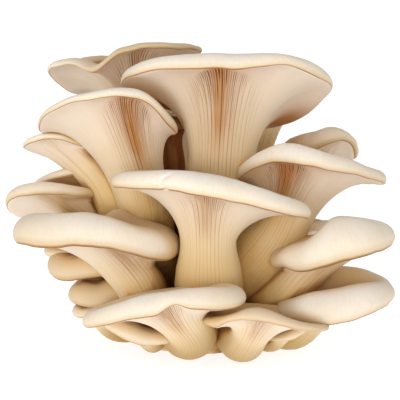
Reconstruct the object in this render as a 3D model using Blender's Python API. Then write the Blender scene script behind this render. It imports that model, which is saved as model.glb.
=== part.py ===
"""An oyster mushroom cluster: mushrooms of many sizes that grow from one cut butt.

Each mushroom is one closed skin, lofted from its root up the stem, out over the gilled underside to the
edge, round the rolled margin and in over the cap to the hollow above the stem. All sizes are in millimetres
until the mesh is made. +Z is up, -Y is the side that the biggest caps face, and the origin is the middle of
the flat cut under the butt, on which the cluster stands.
"""

from collections import namedtuple

import bmesh
import bpy
import numpy as np
from mathutils.bvhtree import BVHTree

MM = 0.001
UP = np.array([0.0, 0.0, 1.0])

# The butt is the lump that the stems share: half an egg with shallow lobes, cut flat where it was picked.
BUTT_RADII = np.array([31.0, 29.0, 33.0])
BUTT_LOBES = ((3, 0.05, 0.4), (5, 0.035, 1.9), (8, 0.02, 0.7))
BUTT_COLUMNS = 20
BUTT_ROWS = 5
ROOT_DEPTH = 6.0

# A stem leaves the butt squarely and leans into its neck: how far each end keeps its own line, as a share of the
# stem's length, and how far the neck turns upright from the way to the cap. A root is narrower, up to TAPER_END.
ROOT_HANDLE = 0.45
NECK_HANDLE = 0.32
UPRIGHT = 0.3
ROOT_WIDTH = 0.72
TAPER_END = 0.3

# Where a stem ends and flares, how far the flare keeps the stem's line, how far its end droops below the edge,
# and how far below its middle the rolled margin meets the gills.
STEM_END = 0.64
FLARE = 0.55
LEAST_CLIMB = 3
DROOP = 0.12
EDGE_TUCK = np.radians(-35)

# The gills stand this high where they are highest, which is larger than life, and less high on the stem and on
# thin stems. A waist of FULL_WAIST or more carries the full height.
GILL_RELIEF = 1.7
STEM_RELIEF = 0.6
FULL_WAIST = 9

# Neighbours are kept this far apart, and points nearer than the weld are one.
GAP = 0.35
WELD = 0.02

MUSHROOM_COLOUR = (0.80, 0.66, 0.48)
BUTT_COLOUR = (0.76, 0.62, 0.42)

# gills: ridges round the mushroom. faces: the bearing it leans out to, where its margin is thickest. root: compass
# bearing and height angle on the butt, in degrees, where a bearing of 0 is +X and 270 is -Y. neck: where the stem
# starts to flare. waist, bulge: the stem's radius at the neck and at its thickest lower down. middle: the cap's
# middle at the height of its edge. dish: the height of the cap's hollow, as a share of the crest's: above 1 it is a
# dome. margin: how far the rolled margin reaches in, how high it stands, and its share of both away from where the
# mushroom faces. reach and rise: the edge's distance from the middle and its height above it, at eight bearings
# from +X round by +Y. folds: bumps of the edge, each a bearing, a width in degrees, a lift, a pull outwards and how
# level the crest stays over it: 1 leaves the crest as it was, and 0 lifts it with the edge.
Mushroom = namedtuple("Mushroom", "name gills faces root neck waist bulge middle dish margin reach rise folds")

MUSHROOMS = [
    Mushroom("crown", 15, 263, (300, 72), (10, -16, 86.5), 15, 15, (13, -20, 126), 0.72,
             (8, 6.1, 0.42), (47, 38, 30, 38, 48, 40, 30, 38), (-8, -26, -25, -19, -6, 3.5, 4, 4.2),
             ((312, 10, 1.8, 0, 1), (335, 18, -2.2, 0, 1), (24, 24, 0, -4, 1))),
    Mushroom("front_centre", 16, 266, (277, 36), (3.5, -52, 54.5), 12.3, 15.3, (3.5, -55, 75), 0.72,
             (9, 6.5, 0.7), (43, 28, 20, 30, 41, 32, 24, 32), (-10, -8, -1, 3, 4.5, 6, 3, -2), ()),
    Mushroom("left_shoulder", 16, 294, (195, 55), (-27, -22, 74.5), 12.5, 12.5, (-41, -22, 106.5), 0.72,
             (6, 3.2, 0.7), (30, 28, 25, 28, 31, 30, 26, 28), (-5, -4, -5, -9, -6, 6, 11, 8.5), ((338, 32, -4, 0, 1),)),
    Mushroom("right_shoulder", 12, 240, (300, 50), (38, -29, 61), 12, 14.5, (50, -25, 82), 0.72,
             (7, 6, 0.68), (33, 26, 22, 26, 33, 28, 26, 28), (-5, -7, -3, -3, -4, 6, 5, 1.3), ((338, 20, -1.5, 0, 0),)),
    Mushroom("bottom_left", 11, 270, (255, 21), (-6, -61, 19.5), 10, 12.6, (-15, -72, 28), 0.72,
             (8, 6, 0.75), (34, 27, 23, 26, 34, 24, 18, 24), (5, 2.5, -1, -4, -7, -1, 1.8, 5),
             ((283, 15, 3.6, 0, 1), (338, 26, -2.5, 0, 1))),
    Mushroom("bottom_right", 10, 265, (299, 27), (21.5, -59, 14.8), 8.4, 11.6, (27, -68, 22.5), 0.72,
             (6, 3.4, 0.5), (28, 24, 22, 25, 25, 18, 16, 20), (-3, 0, 1.5, 1.5, 0, 2.8, 3, -0.5),
             ((200, 14, -2, 0, 1),)),
    Mushroom("left_front", 11, 290, (225, 30), (-29, -42.5, 37.5), 11, 11.5, (-45, -45, 54.5), 0.72,
             (11, 9, 1.0), (34, 26, 20, 28, 36, 28, 22, 28), (-8, -8, -8, -6.5, -1.5, 1.5, 0.5, -5),
             ((228, 28, -2, 0, 1), (298, 18, 1, 0, 0))),
    Mushroom("right_front", 10, 285, (315, 30), (44, -40, 35.5), 9, 9, (60, -45, 50.5), 1.1,
             (14, 11.5, 0.4), (25, 24, 22, 24, 27.5, 24, 22, 24), (3, 1, -2, -4.5, -8.2, -8, -2.5, 1),
             ((206, 16, 2.4, 0, 0),)),
    Mushroom("right_lower", 10, 270, (325, 18), (48, -39, 15), 6.7, 8, (60, -45, 26), 0.72,
             (11, 8.3, 0.6), (25, 24, 22, 24, 25, 25, 24, 26), (4, 6.5, 7, 1.5, -6, -5.8, -4.3, 1), ()),
    Mushroom("back_crown", 10, 285, (120, 60), (-28, 14, 99.5), 9, 10, (-34, 15, 125), 0.72,
             (6, 2.6, 0.8), (34, 30, 28, 32, 36, 34, 26, 32), (8, 2, -5, -13, -2, 4.5, 9.8, 11.5),
             ((243, 12, -5.5, 0, 0.15),)),
    Mushroom("left_tongue", 8, 250, (198, 42), (-47.5, -13, 79.5), 8, 9, (-65, -5, 89.5), 0.72,
             (6, 3.2, 0.7), (20, 17, 15, 15, 16, 15, 14, 17), (-1.5, -7, -7, -3, 1, 5, 6.6, 3.2), ()),
    Mushroom("right_back", 8, 290, (20, 50), (48, 8, 72.5), 6, 7, (57, 10, 87.5), 1.15,
             (12, 6, 0.9), (15.5, 15, 14, 15, 16, 15, 15, 15.2), (-5, -4, -3, -3, -1, 2.4, 4.5, 3.2),
             ((238, 30, -2.5, 0, 1), (335, 36, 3.5, 0, 1))),
    Mushroom("left", 10, 260, (197, 27), (-49, -14, 58.5), 6.5, 7, (-66, -15, 67.5), 0.72,
             (6, 4.6, 0.55), (18.5, 17, 18, 20, 22, 20, 17.5, 17.5), (1.5, -3.5, -8, -11, -3, 4, 5.3, 3.8), ()),
    Mushroom("left_back", 8, 250, (170, 35), (-40, 3, 63.5), 5, 6, (-56, 0, 74.5), 0.72,
             (5, 3, 0.6), (18, 16, 15, 18, 20, 18, 15, 16), (3, -2, -5, -6, -3, 2, 5, 4), ()),
    Mushroom("lower_left", 8, 250, (203, 20), (-42, -27, 31.5), 5, 6, (-52, -30, 38.5), 1.15,
             (9, 7, 0.9), (20, 17, 14, 14, 15, 15, 14, 18), (-2, -1, -1, -1, -1, -3, -2, -1), ()),
    Mushroom("lower_left_small", 8, 250, (220, 15), (-38.5, -29, 19.6), 4.5, 5.5, (-45, -32.5, 26.4), 1.1,
             (8, 6, 0.9), (18, 16, 13, 12, 12.5, 13, 12, 15), (0.5, 3, 3, 1.5, -1, -2, -2.5, 0), ()),
    Mushroom("under_left", 8, 250, (238, 14), (-23, -44, 9.5), 4.5, 4.5, (-27, -52, 15), 1.0,
             (8, 5, 0.55), (18, 16, 15, 15, 16, 15, 13, 15), (-3, -1, 1, 2, 3, 1, -3.5, -4), ()),
    Mushroom("under_right", 8, 290, (307, 15), (35, -39, 8), 3.5, 3.8, (40, -45, 13.5), 1.0,
             (5, 3, 0.5), (8.5, 10, 14, 16, 14, 11, 10.5, 9.5), (1, 1, 1, 0, -3, -3, -2, 1), ()),
    Mushroom("lower_left_bud", 6, 240, (222, 12), (-44, -33, 13.5), 3, 3.2, (-50, -36, 20), 1.15,
             (3.5, 3, 0.9), (7, 7, 6.5, 6, 6.5, 6.5, 6, 6.5), (0, 0, 0, 0, -0.5, -1.5, -1, 0), ()),
    Mushroom("left_sliver", 7, 230, (184, 24), (-47, -17, 38.5), 4.5, 5, (-58, -22, 46), 1.0,
             (5, 3, 0.8), (12, 11, 11, 12, 12, 12, 11, 12), (0, 2, 3, 2, -1, -2, -1, 0), ()),
    Mushroom("right_inner", 7, 280, (350, 40), (44, -8, 44.2), 4.5, 5, (46, -8, 52.2), 0.95,
             (5, 3, 0.8), (13, 12, 12, 13, 14, 13, 12, 12), (2, 2, 1, -1, -2, -1, 1, 2), ()),
    Mushroom("top_back", 8, 100, (105, 50), (-38, 46, 109.5), 5.5, 6.5, (-47, 48, 124.5), 0.72,
             (6, 3.5, 0.8), (15, 14, 13, 14, 14, 13, 12, 14), (0, -2, -3, -2, 0, 2, 3, 2), ()),
    Mushroom("inner", 7, 270, (160, 72), (-13, 0, 90.5), 5, 6.5, (-15, 2, 100), 0.72,
             (4, 2.5, 0.8), (11, 10, 9, 10, 11, 10, 9, 10), (0, 1, 2, 1, 0, 0, 0, 0), ()),
    Mushroom("crown_back", 7, 60, (60, 65), (30, 25, 94.5), 7, 7.5, (38, 30, 110.5), 0.72,
             (6, 4, 0.7), (18, 18, 18, 18, 20, 18, 16, 17), (-2, -6, -7, -4, 0, 2, 4, 2), ()),
    Mushroom("back_left", 8, 140, (150, 40), (-42, 38, 72.5), 6, 7, (-52, 48, 86.5), 0.72,
             (7, 5, 0.7), (24, 22, 20, 22, 24, 22, 18, 20), (2, -2, -6, -5, -1, 4, 5, 4), ()),
    Mushroom("back_centre", 8, 90, (90, 45), (-4, 50, 78.5), 8, 9, (-4, 62, 96.5), 0.72,
             (8, 5, 0.6), (30, 26, 24, 26, 30, 24, 20, 24), (0, -5, -8, -6, 0, 4, 7, 4), ()),
    Mushroom("back_right", 8, 50, (30, 40), (42, 40, 58), 6, 7, (48, 50, 73), 0.72,
             (7, 5, 0.7), (22, 22, 20, 20, 20, 18, 16, 18), (-1, -4, -6, -3, 1, 4, 5, 3), ()),
    Mushroom("back_low_left", 8, 110, (140, 22), (-30, 52, 42.5), 6.5, 7.5, (-36, 62, 57.5), 0.72,
             (7, 5, 0.7), (24, 22, 20, 22, 24, 20, 17, 20), (1, -3, -5, -4, 0, 3, 4, 2), ()),
    Mushroom("back_low_right", 8, 75, (60, 22), (20, 54, 40.5), 6.5, 7.5, (25, 65, 54.5), 0.72,
             (7, 5, 0.7), (25, 22, 20, 22, 24, 20, 17, 20), (-1, -4, -5, -3, 0, 3, 4, 3), ()),
    Mushroom("back_side_left", 8, 170, (165, 15), (-48, 22, 38.5), 5.5, 6.5, (-60, 26, 50.5), 0.72,
             (6, 4, 0.7), (20, 18, 17, 19, 21, 18, 16, 18), (2, 0, -3, -4, -2, 1, 3, 3), ()),
    Mushroom("back_side_right", 8, 10, (10, 18), (50, 20, 36.5), 5.5, 6.5, (62, 24, 47.5), 0.72,
             (6, 4, 0.7), (20, 19, 17, 18, 20, 18, 16, 18), (-2, -3, -3, 0, 2, 3, 3, 0), ()),
    Mushroom("back_foot_left", 7, 125, (125, 13), (-24, 44, 16.5), 5, 6, (-32, 54, 26.5), 0.72,
             (6, 4, 0.8), (20, 18, 16, 18, 20, 17, 15, 17), (1, -2, -4, -4, -1, 2, 3, 2), ()),
    Mushroom("back_foot_right", 7, 55, (55, 13), (26, 42, 16.5), 5, 6, (34, 50, 25.5), 0.72,
             (6, 4, 0.8), (20, 18, 16, 18, 20, 17, 15, 17), (-1, -3, -3, -2, 0, 2, 3, 2), ()),
]


def unit(vector):
    return vector / np.linalg.norm(vector, axis=-1, keepdims=True)


def round_the_edge(values, bearings):
    """The smooth periodic curve through eight values, one at every 45 degrees."""
    waves = np.fft.rfft(values) / len(values)
    total = np.full_like(bearings, waves[0].real)
    for k in range(1, 5):
        share = 1 if k == 4 else 2
        total += share * (waves[k] * np.exp(1j * k * bearings)).real
    return total


def away_from(bearings, degrees):
    """How far round from a compass bearing each bearing is, in degrees from -180 to 180."""
    return (np.degrees(bearings) - degrees + 180) % 360 - 180


def bezier(p0, p1, p2, p3, t):
    return p0 * (1 - t) ** 3 + 3 * p1 * t * (1 - t) ** 2 + 3 * p2 * t**2 * (1 - t) + p3 * t**3


def bezier_slope(p0, p1, p2, p3, t):
    return unit((p1 - p0) * (1 - t) ** 2 + 2 * (p2 - p1) * t * (1 - t) + (p3 - p2) * t**2)


def ring(centre, axis, radius, bearings):
    """A circle round an axis. Its bearings stay those of the ground, turned the short way from upright."""
    turn = np.cross(UP, axis)
    cross = np.array([[0, -turn[2], turn[1]], [turn[2], 0, -turn[0]], [-turn[1], turn[0], 0]])
    tilt = np.eye(3) + cross + cross @ cross / (1 + axis[2])
    flat = np.stack([np.cos(bearings), np.sin(bearings), 0 * bearings], axis=-1)
    return centre + radius * flat @ tilt.T


def butt_point(bearing, height):
    """A point on the butt's egg and the direction out of it, from two angles in degrees."""
    b, h = np.radians(bearing), np.radians(height)
    out = np.array([np.cos(h) * np.cos(b), np.cos(h) * np.sin(b), np.sin(h)])
    return BUTT_RADII * out, unit(out / BUTT_RADII)


def rows_of(m, bearings, stem_rows, gill_rows, margin_rows, cap_rows):
    """The skin's rings of points from root to cap, and how strongly gills show on each ring."""
    surface, out = butt_point(*m.root)
    root = surface - ROOT_DEPTH * out
    neck, middle = np.array(m.neck, float), np.array(m.middle, float)
    rising = middle - neck
    axis = unit(rising + UPRIGHT * np.linalg.norm(rising) * UP)
    length = np.linalg.norm(neck - root)
    spine = (root, root + ROOT_HANDLE * length * out, neck - NECK_HANDLE * length * axis, neck)

    reach = round_the_edge(m.reach, bearings)
    rise = round_the_edge(m.rise, bearings)
    lifted = 0 * bearings
    for bearing, wide, lift, pull, level in m.folds:
        bump = np.exp(-((away_from(bearings, bearing) / wide) ** 2))
        lifted = lifted + level * lift * bump
        rise = rise + lift * bump
        reach = reach + pull * bump
    edge = middle + np.stack([reach * np.cos(bearings), reach * np.sin(bearings), rise], axis=-1)
    around = edge - edge.mean(axis=0)
    normal = unit(np.cross(around, np.roll(around, -1, axis=0)).sum(axis=0))
    outward = around - np.outer(around @ normal, normal)
    outward = unit(outward)

    rings, relief = [], []
    for t in np.linspace(0, STEM_END, stem_rows):
        radius = m.waist + (m.bulge - m.waist) * np.sin(np.pi * t) ** 2
        radius *= ROOT_WIDTH + (1 - ROOT_WIDTH) * min(1.0, t / TAPER_END)
        rings.append(ring(bezier(*spine, t), bezier_slope(*spine, t), radius, bearings))
        relief.append(STEM_RELIEF * t)

    foot = ring(neck, axis, m.waist, bearings)
    climb = (edge - foot) @ axis
    spread = np.linalg.norm(edge - foot - np.outer(climb, axis), axis=-1)
    start = foot + np.outer(FLARE * np.maximum(climb, LEAST_CLIMB), axis)
    end = edge - outward * (FLARE * spread)[:, None] + DROOP * normal * spread[:, None]
    for t in np.linspace(0, 1, gill_rows + 1):
        rings.append(bezier(foot, start, end, edge, t))
        swell = np.sin(np.pi * t)
        relief.append(STEM_RELIEF + (1 - STEM_RELIEF) * swell if t < 0.5 else swell)

    # A level fold is the edge's alone: it fades over the margin to nothing at the crest.
    ends = m.margin[2]
    front = np.maximum(0, np.cos(np.radians(away_from(bearings, m.faces))))
    width, height = (size * (ends + (1 - ends) * front)[:, None] for size in m.margin[:2])
    roll = edge - outward * width * np.cos(EDGE_TUCK) - normal * height * np.sin(EDGE_TUCK)
    for step in np.linspace(0, 1, margin_rows + 1)[1:]:
        angle = EDGE_TUCK + (np.pi / 2 - EDGE_TUCK) * step
        points = roll + outward * width * np.cos(angle) + normal * height * np.sin(angle)
        rings.append(points - np.outer(lifted * step, UP))
        relief.append(0)

    crest = rings[-1]
    hollow = neck + axis * m.dish * ((crest - neck) @ axis).mean()
    fall = (crest - hollow) @ normal
    across = crest - hollow - np.outer(fall, normal)
    for x in np.linspace(1, 0, cap_rows + 1)[1:-1]:
        rings.append(hollow + across * x + np.outer(fall, normal) * (1 - (1 - x**2) ** 2))
        relief.append(0)
    return root, rings, hollow, relief


def outward_normals(rings):
    """The skin's normals, from each point's neighbours along and round it."""
    grid = np.array(rings)
    along = np.gradient(grid, axis=0)
    round_it = np.roll(grid, -1, axis=1) - np.roll(grid, 1, axis=1)
    return unit(np.cross(round_it, along) + 1e-9)


def stitch(faces, below, above):
    """Faces between two rings that run the same way, where one may have twice the other's points."""
    n = min(len(below), len(above))
    for i in range(n):
        j = (i + 1) % n
        if len(below) == len(above):
            faces.append((below[i], below[j], above[j], above[i]))
        elif len(above) > len(below):
            faces.append((below[i], above[2 * i + 1], above[2 * i]))
            faces.append((below[i], below[j], above[2 * i + 1]))
            faces.append((below[j], above[2 * j], above[2 * i + 1]))
        else:
            faces.append((below[2 * i], below[2 * i + 1], above[i]))
            faces.append((below[2 * i + 1], above[j], above[i]))
            faces.append((below[2 * i + 1], below[2 * j], above[j]))


def mushroom_mesh(m, room=0.0):
    """One mushroom, with two columns of points to a gill: a crest and a furrow. The cap has one.

    With room it is a plain form that stands that far clear of the gill crests, which cuts the neighbours.
    """
    columns = 2 * m.gills
    bearings = np.arange(columns) * 2 * np.pi / columns
    stem_rows, gill_rows, cap_rows = (4, 5, 3) if m.gills > 9 else (3, 4, 2)
    root, rings, hollow, relief = rows_of(m, bearings, stem_rows, gill_rows, 2, cap_rows)
    edge = stem_rows + gill_rows
    normals = outward_normals(rings)
    zigzag = np.where((np.arange(columns) % 2 == 0) | (room > 0), 0.5, -0.5)
    deeper = room * unit(root - rings[1].mean(axis=0))
    rings[0] = rings[0] + deeper
    points, numbered = [root + deeper], []
    for row, (loop, strength) in enumerate(zip(rings, relief)):
        depth = GILL_RELIEF * strength * min(1.0, m.waist / FULL_WAIST)
        loop = loop + normals[row] * (depth * zigzag + room)[:, None]
        if row < (edge if room and m.gills > 9 else 2) or row > edge + 1:
            loop = loop[::2]
        numbered.append(list(range(len(points), len(points) + len(loop))))
        points.extend(loop)
    points.append(hollow + room * UP)
    faces = []
    first, last = numbered[0], numbered[-1]
    for i in range(len(first)):
        faces.append((0, first[(i + 1) % len(first)], first[i]))
    for below, above in zip(numbered, numbered[1:]):
        stitch(faces, below, above)
    for i in range(len(last)):
        faces.append((last[i], last[(i + 1) % len(last)], len(points) - 1))
    return points, faces


def butt_mesh():
    bearings = np.arange(BUTT_COLUMNS) * 2 * np.pi / BUTT_COLUMNS
    lobes = 1 + sum(size * np.sin(n * bearings + shift) for n, size, shift in BUTT_LOBES)
    points, numbered = [np.zeros(3)], []
    for row in range(BUTT_ROWS):
        h = row / BUTT_ROWS * np.pi / 2
        flat = np.cos(h) * lobes
        loop = np.stack([flat * np.cos(bearings), flat * np.sin(bearings), 0 * flat + np.sin(h)], axis=-1)
        numbered.append(list(range(len(points), len(points) + len(loop))))
        points.extend(loop * BUTT_RADII)
    points.append(BUTT_RADII * UP)
    faces = []
    for i in range(BUTT_COLUMNS):
        j = (i + 1) % BUTT_COLUMNS
        faces.append((0, numbered[0][j], numbered[0][i]))
        faces.append((numbered[-1][i], numbered[-1][j], len(points) - 1))
    for below, above in zip(numbered, numbered[1:]):
        stitch(faces, below, above)
    return points, faces


def add_object(name, points, faces):
    mesh = bpy.data.meshes.new(name)
    mesh.from_pydata([tuple(p * MM) for p in points], [], faces)
    mesh.shade_smooth()
    mesh.set_sharp_from_angle(angle=np.radians(50))
    thing = bpy.data.objects.new(name, mesh)
    bpy.context.collection.objects.link(thing)
    return thing


def tree_of(thing):
    return BVHTree.FromPolygons([v.co for v in thing.data.vertices], [p.vertices for p in thing.data.polygons])


def carve(thing, cutters):
    """Cut a body clear of the neighbours it would touch and keep its largest piece.

    The solver is MANIFOLD because EXACT loses the butt, which so many stems cut.
    """
    tree = tree_of(thing)
    near = [cutter for cutter in cutters if tree.overlap(tree_of(cutter))]
    for cutter in near:
        cut = thing.modifiers.new(cutter.name, "BOOLEAN")
        cut.operation, cut.solver, cut.object = "DIFFERENCE", "MANIFOLD", cutter
    if near:
        view = bpy.context.evaluated_depsgraph_get()
        mesh = bpy.data.meshes.new_from_object(thing.evaluated_get(view))
        thing.modifiers.clear()
        thing.data = mesh
        keep_largest(thing)


def keep_largest(thing):
    """Weld what the cuts left, and drop the crumbs that they parted from the body."""
    work = bmesh.new()
    work.from_mesh(thing.data)
    bmesh.ops.remove_doubles(work, verts=work.verts, dist=WELD * MM)
    bmesh.ops.dissolve_degenerate(work, edges=work.edges, dist=WELD * MM)
    left, pieces = set(work.verts), []
    while left:
        piece, front = set(), [left.pop()]
        while front:
            vertex = front.pop()
            piece.add(vertex)
            linked = {edge.other_vert(vertex) for edge in vertex.link_edges} & left
            left -= linked
            front.extend(linked)
        pieces.append(piece)
    pieces.sort(key=len)
    for piece in pieces[:-1]:
        bmesh.ops.delete(work, geom=list(piece), context="VERTS")
    work.to_mesh(thing.data)
    work.free()


def colour(thing, base, roughness):
    skin = bpy.data.materials.new(thing.name)
    skin.use_nodes = True
    shader = skin.node_tree.nodes["Principled BSDF"]
    shader.inputs["Base Color"].default_value = (*base, 1)
    shader.inputs["Roughness"].default_value = roughness
    thing.data.materials.clear()
    thing.data.materials.append(skin)


def main():
    for thing in list(bpy.data.objects):
        bpy.data.objects.remove(thing)
    cutters = []
    for m in MUSHROOMS:
        thing = add_object(m.name, *mushroom_mesh(m))
        carve(thing, cutters)
        colour(thing, MUSHROOM_COLOUR, 0.6)
        cutter = add_object(m.name + "_room", *mushroom_mesh(m, GAP))
        cutter.hide_render = True
        cutters.append(cutter)
    butt = add_object("butt", *butt_mesh())
    carve(butt, cutters)
    colour(butt, BUTT_COLOUR, 0.7)
    for cutter in cutters:
        bpy.data.objects.remove(cutter)


main()
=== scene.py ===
"""The looks of an oyster mushroom cluster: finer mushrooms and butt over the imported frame, and a plain studio.

Each mushroom is lofted from the same sizes as its solid, in millimetres, on a much finer grid. A Geometry Nodes
tree then sinks the furrows between its gills. +Z is up and -Y is the side that the biggest caps face.
"""

from collections import namedtuple

import bpy
import numpy as np
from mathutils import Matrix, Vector
from mathutils.bvhtree import BVHTree

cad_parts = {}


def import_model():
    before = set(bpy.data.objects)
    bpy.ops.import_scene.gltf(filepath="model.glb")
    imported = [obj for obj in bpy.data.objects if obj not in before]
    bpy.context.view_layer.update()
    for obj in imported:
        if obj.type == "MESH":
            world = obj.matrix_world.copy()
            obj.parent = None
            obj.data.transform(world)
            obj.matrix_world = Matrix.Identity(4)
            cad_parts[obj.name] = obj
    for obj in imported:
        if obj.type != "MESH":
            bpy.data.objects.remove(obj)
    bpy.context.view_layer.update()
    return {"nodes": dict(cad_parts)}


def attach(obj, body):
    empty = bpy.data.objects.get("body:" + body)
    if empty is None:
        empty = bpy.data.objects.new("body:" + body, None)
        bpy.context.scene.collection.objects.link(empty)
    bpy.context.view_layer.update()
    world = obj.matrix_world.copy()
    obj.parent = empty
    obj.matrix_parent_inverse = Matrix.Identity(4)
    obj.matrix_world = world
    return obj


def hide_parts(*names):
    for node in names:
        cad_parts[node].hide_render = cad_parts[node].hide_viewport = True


MM = 0.001
UP = np.array([0.0, 0.0, 1.0])

# The solids' own sizes: the butt's egg, the stem's end, the flare, and where the margin meets the gills.
BUTT_RADII = np.array([31.0, 29.0, 33.0])
BUTT_LOBES = ((3, 0.05, 0.4), (5, 0.035, 1.9), (8, 0.02, 0.7))
ROOT_DEPTH = 6.0
STEM_END = 0.64
FLARE = 0.55
EDGE_TUCK = np.radians(-35)

# Rings of points along a big and a small mushroom: stem, bend to the neck, gills, margin and cap. A gill takes
# four columns: the two sides of its ridge and the two of the furrow beside it. A big one has more than this many gills.
BIG_ROWS = (12, 4, 28, 10, 8)
SMALL_ROWS = (8, 3, 20, 8, 7)
GILL_COLUMNS = (0.0, 0.42, 0.57, 0.85)
BIG_FROM = 105

# The furrows' depth: a share of the gap between two gills, and the most in mm.
FURROW_DEPTH = 0.75
DEEPEST = 1.1

# Small waves in the margin, too fine for the solids: how many go round, and the height of the biggest in mm.
RIPPLES = ((6, 0.35), (10, 0.3), (17, 0.16))

# Along a mushroom, 0 is the root, 1 the neck, 2 the edge, 3 the crest and 4 the middle of the hollow. The crease under
# the margin lies just past the edge, and the cap's skin begins there.
CREASE_AT = 2.005
SKIN_FROM = 2.004
CREASE_DEPTH = 0.35

# How shut in a point is by its neighbours is felt out with this many rays, of this length in metres; shade is painted
# by it.
SHELTER_RAYS = 20
SHELTER_REACH = 0.045
# They start this far out of the fine skin, in mm, to clear the coarser solid under it.
RAY_START = 2.0

# gills: how many meet the edge. faces: the bearing it leans out to, where the gills run deepest, with the most painted
# shade, and the
# margin is thickest. tan: how brown the cap is: its own colour on old caps, and painted shade on low ones. deep: how
# deep its gills are and how much shade is painted in them. dish: the height of the cap's hollow, as a share of the
# crest's: above 1 it is a dome. The other values are the solids' own.
Mushroom = namedtuple("Mushroom", "name gills faces tan deep root neck waist bulge middle dish margin reach rise folds")

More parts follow.
